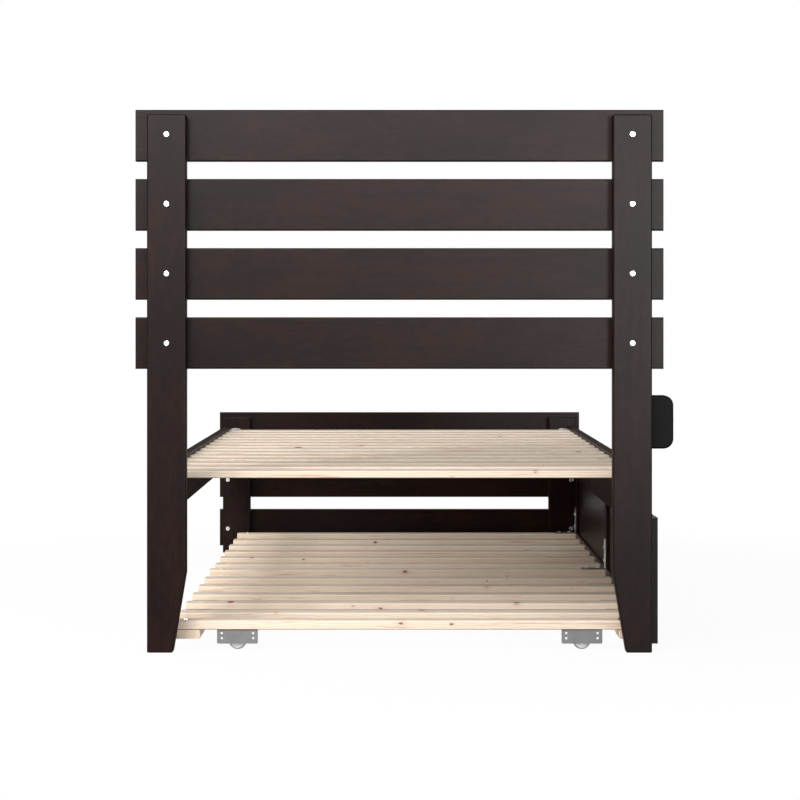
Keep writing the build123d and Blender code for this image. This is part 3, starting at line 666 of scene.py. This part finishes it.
DECK_SLAT_COUNT = 14
DECK_SCREW_X = 487.0
deck_places = []
for number in range(1, DECK_SLAT_COUNT + 1):
    low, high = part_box(f"deck_slat_{number:02d}")
    for x in (-DECK_SCREW_X, DECK_SCREW_X):
        deck_places.append((Vector((bed(x, 0, 0).x, (low.y + high.y) / 2, high.z)), SUNK_HEAD))
add_screws("deck_slat_screws", deck_places, "bed_frame")

# Every sixth slat of the trundle is a cross slat, whose right end has a bracket and no slat screw
TRUNDLE_SLAT_COUNT = 13
CROSS_SLAT_EVERY = 6
TRUNDLE_SLAT_WIDTH = 0.053
CROSS_SLAT_WIDTH = 0.038
TRUNDLE_SCREW_LEFT = -445.5
TRUNDLE_SCREW_RIGHT = 488.0
slat_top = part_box("trundle_slats")[1].z
cross_low, cross_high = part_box("trundle_cross_slat_1")
trundle_places = []
for number in range(TRUNDLE_SLAT_COUNT):
    start = cross_low.y + number * TRUNDLE_PITCH
    crossing = number % CROSS_SLAT_EVERY == 0
    middle = start + (CROSS_SLAT_WIDTH if crossing else TRUNDLE_SLAT_WIDTH) / 2
    top = cross_high.z if crossing else slat_top
    head = ROUND_HEAD if crossing else SUNK_HEAD
    trundle_places.append((Vector((bed(TRUNDLE_SCREW_LEFT, 0, 0).x, middle, top)), head))
    if not crossing:
        trundle_places.append((Vector((bed(TRUNDLE_SCREW_RIGHT, 0, 0).x, middle, top)), head))
add_screws("trundle_slat_screws", trundle_places, "trundle")

# Tongues in the charger's outlets and their contacts: insets from the outlet's low and high end,
# heights over its middle, and bevels, in metres
OUTLET_HEIGHT = 0.0062
TONGUE_HALF_WIDTH = 0.0052
TONGUE_INSETS = (0.0005, 0.0008)
TONGUE_HEIGHTS = (0.0004, 0.0022)
TONGUE_BEVEL = 0.0002
CONTACT_COUNT = 4
CONTACT_PITCH = 0.0024
CONTACT_HALF_WIDTH = 0.0006
CONTACT_INSETS = (0.0012, 0.0016)
CONTACT_HEIGHTS = (0.0001, 0.0004)
CONTACT_BEVEL = 0.0001
BEVEL_SEGMENTS = 2

outlet_low, outlet_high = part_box("charger_outlets")
outlet_middle_x = (outlet_low.x + outlet_high.x) / 2


def add_strip(shape, x, z, half_width, insets, heights, bevel):
    """A block with bevelled edges, as long as an outlet without its insets."""
    low = Vector((x - half_width, outlet_low.y + insets[0], z + heights[0]))
    high = Vector((x + half_width, outlet_high.y - insets[1], z + heights[1]))
    made = bmesh.ops.create_cube(shape, size=1.0)["verts"]
    middle, size = (low + high) / 2, high - low
    for vert in made:
        vert.co = Vector([m + c * s for m, c, s in zip(middle, vert.co, size)])
    edges = list({edge for vert in made for edge in vert.link_edges})
    bmesh.ops.bevel(shape, geom=edges, offset=bevel, segments=BEVEL_SEGMENTS, affect="EDGES")


tongues = bmesh.new()
contacts = bmesh.new()
for centre_z in (outlet_low.z + OUTLET_HEIGHT / 2, outlet_high.z - OUTLET_HEIGHT / 2):
    add_strip(tongues, outlet_middle_x, centre_z, TONGUE_HALF_WIDTH, TONGUE_INSETS, TONGUE_HEIGHTS,
              TONGUE_BEVEL)
    for step in range(CONTACT_COUNT):
        contact_x = outlet_middle_x + (step - (CONTACT_COUNT - 1) / 2) * CONTACT_PITCH
        add_strip(contacts, contact_x, centre_z, CONTACT_HALF_WIDTH, CONTACT_INSETS, CONTACT_HEIGHTS,
                  CONTACT_BEVEL)
add_piece("charger_outlet_tongues", tongues, black, "bed_frame")
add_piece("charger_outlet_contacts", contacts, zinc, "bed_frame")

# World: an even level and soft lobes from three sides, seen as plain white
WORLD_LEVEL = 0.31
WORLD_SIDES = (((0.0, -1.0, 0.0), 0.86), ((-1.0, 0.0, 0.0), 0.57), ((0.0, 1.0, 0.0), 0.34))
WORLD_LOBE = 2.0

world = bpy.data.worlds.new("studio")
bpy.context.scene.world = world
world.use_nodes = True
sky = Nodes(world.node_tree)
way = sky.node("TexCoord").outputs["Generated"]
light = WORLD_LEVEL
for side, strength in WORLD_SIDES:
    towards = sky.math("MAXIMUM", sky.vector("DOT_PRODUCT", way, side), 0.0)
    lobe = sky.math("POWER", towards, WORLD_LOBE)
    light = sky.math("ADD", sky.math("MULTIPLY", lobe, strength), light)
background = world.node_tree.nodes["Background"]
background.inputs["Color"].default_value = neutral(1.0)
sky.put(background.inputs["Strength"], sky.span(sky.seen(), light, 1.0))

# Floor: seen as white but for a share of its shading, which fades out between two distances
FLOOR_HALF = 20.0
FLOOR_CELLS = 4
FLOOR_DROP = 0.0004
FLOOR_GREY = neutral(0.86)
FLOOR_ROUGHNESS = 0.9
FLOOR_SHADE = 0.05
FLOOR_FADE = (1.2, 2.0)

floor_shape = bmesh.new()
bmesh.ops.create_grid(floor_shape, x_segments=FLOOR_CELLS, y_segments=FLOOR_CELLS, size=FLOOR_HALF)
floor_mesh = bpy.data.meshes.new("floor")
floor_shape.to_mesh(floor_mesh)
floor_shape.free()
floor = bpy.data.objects.new("floor", floor_mesh)
floor.location.z = -FLOOR_DROP
bpy.context.scene.collection.objects.link(floor)
paint = Shading("floor_paint")
paint.surface("Base Color", FLOOR_GREY)
paint.surface("Roughness", FLOOR_ROUGHNESS)
paint.surface("Specular IOR Level", 0.0)
glow = paint.node("Emission")
glow.inputs["Strength"].default_value = 1.0
away = paint.ramp(paint.vector("LENGTH", paint.place()), *FLOOR_FADE)
white = paint.math("MULTIPLY", paint.seen(), paint.span(away, 1.0 - FLOOR_SHADE, 1.0))
blend = paint.fill(paint.node("MixShader"), (white, paint.shader.outputs[0], glow.outputs[0]))
paint.put(paint.tree.nodes["Material Output"].inputs["Surface"], blend.outputs[0])
floor.data.materials.append(paint.material)


def add_lamp(name, place, target, size, power, sheen=True, shade=True):
    """A soft box; sheen is whether gloss shows it, shade whether it lights matt surfaces."""
    data = bpy.data.lights.new(name, "AREA")
    data.shape = "RECTANGLE"
    data.size, data.size_y = size
    data.energy = power
    lamp = bpy.data.objects.new(name, data)
    lamp.location = place
    lamp.rotation_euler = (Vector(target) - Vector(place)).to_track_quat("-Z", "Y").to_euler()
    lamp.visible_glossy = sheen
    lamp.visible_diffuse = shade
    bpy.context.scene.collection.objects.link(lamp)


# Lamps that light the bed: name, place, target, size, power
SHADE_LAMPS = (
    ("key", (-3.0, -4.5, 3.4), (-0.2, 0.0, 0.1), (0.6, 0.6), 99.0),
    ("key_near", (-1.4, -3.6, 2.4), (-0.2, 0.0, 0.1), (0.6, 0.6), 30.0),
    ("left_near", (-2.2, -2.2, 0.9), (0.0, -0.4, 0.2), (1.0, 0.8), 15.0),
    ("left_long", (-3.0, -0.2, 1.15), (0.0, 0.0, 0.2), (3.8, 1.0), 42.0),
)
# Lamps that only show in the lacquer's gloss: name, place, target, size, power
SHEEN_LAMPS = (
    ("front_sheen", (0.6, -6.6, 2.30), (0.0, -1.0, 0.9), (3.8, 1.1), 320.0),
    ("left_sheen", (-1.5, -6.4, 2.80), (0.0, -1.0, 0.9), (1.2, 1.0), 370.0),
    ("right_sheen", (1.9, -6.2, 1.0), (0.3, -1.0, 0.6), (1.0, 1.2), 255.0),
    ("left_side_sheen", (-6.4, 0.5, 0.9), (0.0, 0.0, 0.4), (3.4, 1.2), 130.0),
    ("left_back_sheen", (-4.6, 4.8, 0.9), (0.0, 0.0, 0.5), (2.6, 1.2), 110.0),
    ("right_side_sheen", (6.4, 0.5, 0.9), (0.0, 0.0, 0.4), (3.4, 1.2), 130.0),
    ("right_back_sheen", (4.6, 4.8, 0.9), (0.0, 0.0, 0.5), (2.6, 1.2), 110.0),
)
for lamp_settings in SHADE_LAMPS:
    add_lamp(*lamp_settings, sheen=False)
for lamp_settings in SHEEN_LAMPS:
    add_lamp(*lamp_settings, shade=False)
